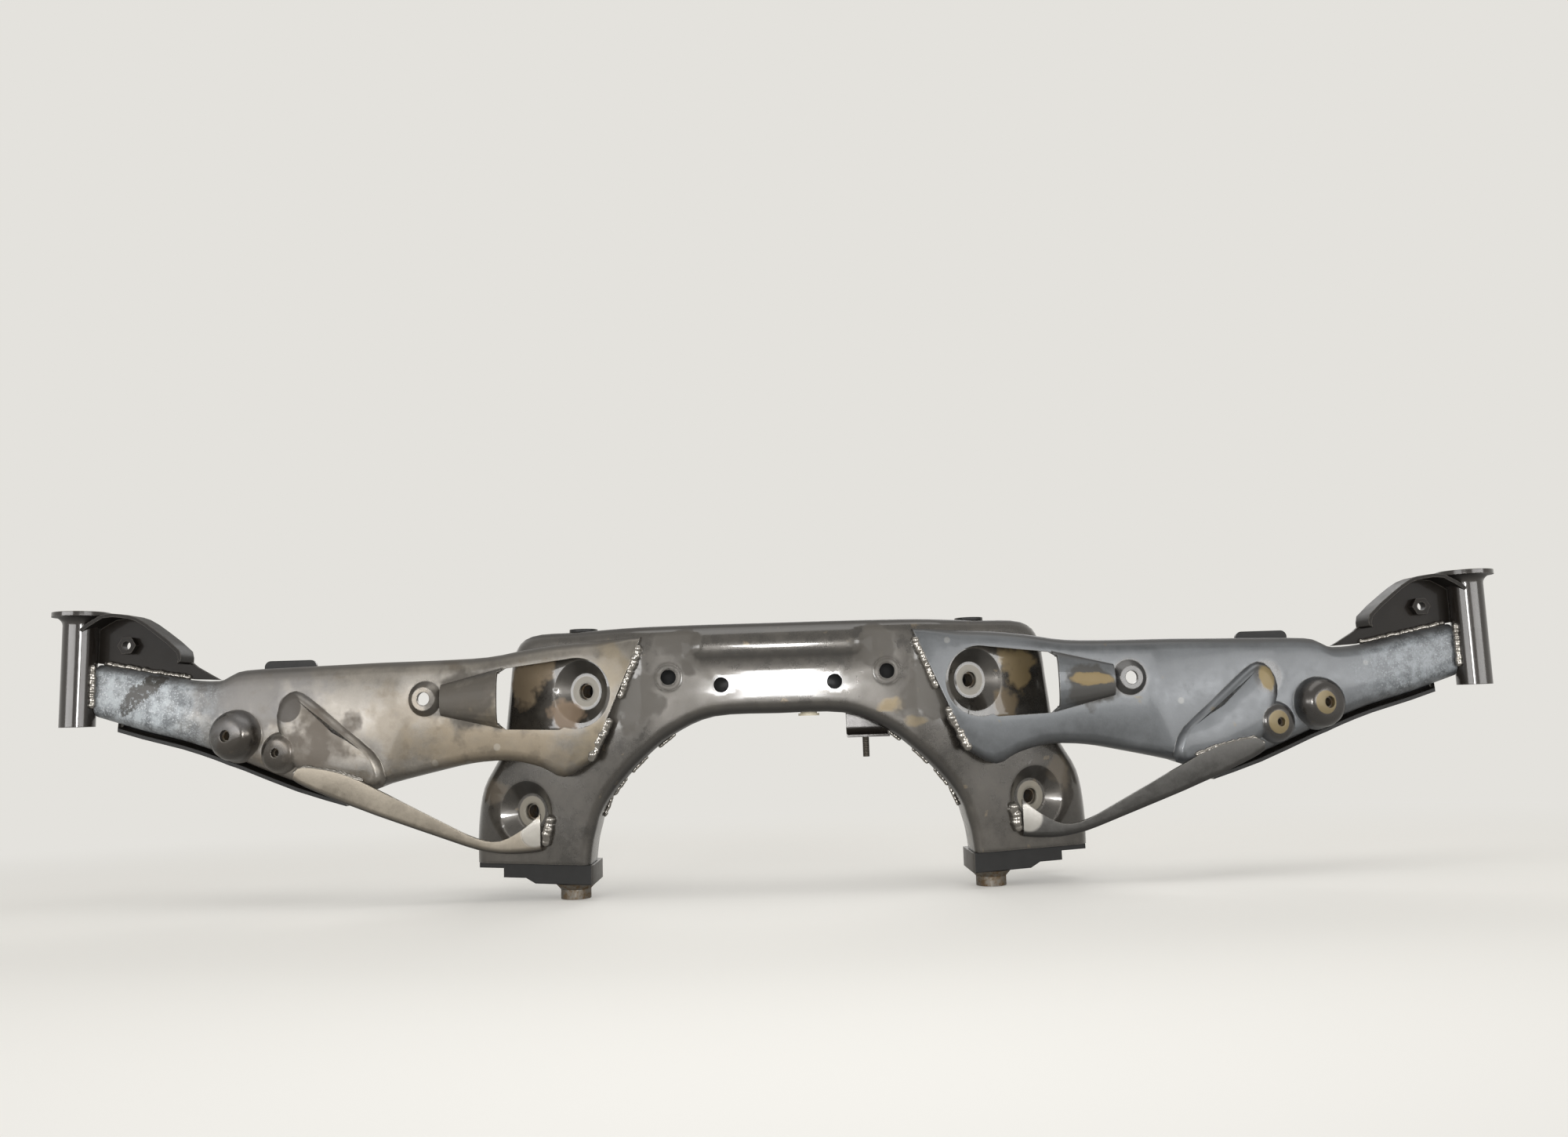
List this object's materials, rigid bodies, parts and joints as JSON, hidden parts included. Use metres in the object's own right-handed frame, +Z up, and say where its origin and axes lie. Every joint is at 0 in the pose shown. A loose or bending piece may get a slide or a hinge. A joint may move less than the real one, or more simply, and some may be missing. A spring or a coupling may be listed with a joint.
{
  "type": "subframe",
  "caption": "Welded pressed-steel axle subframe: a bowed box with an arch and dished link seats, swept arms with bosses and braces, and flanged bolt sleeves at the ends.",
  "frame": {"origin": "midway between the two sleeve axes, on the plane of their top flange faces", "axes": "+X across from the left sleeve to the right one, +Y to the back, away from the face in the picture, +Z up along the sleeves"},
  "size_m": [1.158, 0.1208, 0.233],
  "materials": {
    "black_coat": "black coat, dusty and worn to a dark grey sheen",
    "arm_coat": "black coat under grey-brown dust, scuffed",
    "gloss_black": "glossy black coat",
    "steel": "dull, lightly rusted",
    "plug": "cream plastic"
  },
  "bodies": {
    "root": {"centre_front_panel": "black_coat", "centre_rear_panel": "black_coat", "left_arm_front_panel": "arm_coat", "right_arm_front_panel": "arm_coat", "left_arm_rear_panel": "black_coat", "right_arm_rear_panel": "black_coat", "left_end_bracket": "gloss_black", "right_end_bracket": "gloss_black", "left_end_nut": "steel", "right_end_nut": "steel", "left_sleeve": "gloss_black", "right_sleeve": "gloss_black", "left_lower_brace": "arm_coat", "right_lower_brace": "arm_coat", "left_foot_bracket": "black_coat", "right_foot_bracket": "black_coat", "left_foot_boss": "steel", "right_foot_boss": "steel", "left_upper_link_nut": "steel", "right_upper_link_nut": "steel", "left_lower_link_nut": "steel", "right_lower_link_nut": "steel", "left_arm_large_nut": "steel", "right_arm_large_nut": "steel", "left_arm_small_nut": "steel", "right_arm_small_nut": "steel", "cable_bracket": "gloss_black", "cable_stud": "steel", "arch_plug": "plug", "left_top_pad": "black_coat", "right_top_pad": "black_coat"}
  },
  "joints": []
}
